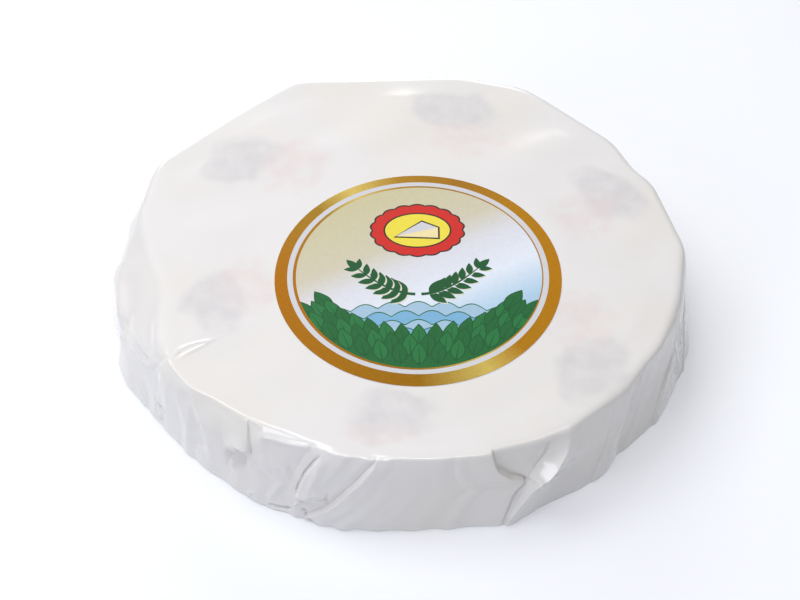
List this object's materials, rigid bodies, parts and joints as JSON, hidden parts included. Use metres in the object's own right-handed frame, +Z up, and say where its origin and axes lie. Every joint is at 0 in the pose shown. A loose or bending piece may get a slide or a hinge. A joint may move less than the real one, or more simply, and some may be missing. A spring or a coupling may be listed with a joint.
{
  "type": "wrapped brie wheel",
  "caption": "Whole wheel of brie shut in a tight white coated paper wrapper, with a flat-sided rim, knife pleats down the wall and a round gold-edged label on top.",
  "frame": {"origin": "on the surface it rests on, under the middle of the wrapped wheel's box", "axes": "+Z up through the wheel, towards the label; +X to the right and -Y towards the viewer when the label is the right way up"},
  "size_m": [0.1992, 0.1836, 0.0374],
  "materials": {
    "coated_paper": "white, thinly coated, satin gloss, creased and pleated",
    "printed_label": "glossy sticker with a gold ring and a blue, cream and green print"
  },
  "bodies": {
    "root": {"wrapped_brie": "coated_paper", "label": "printed_label"}
  },
  "joints": []
}
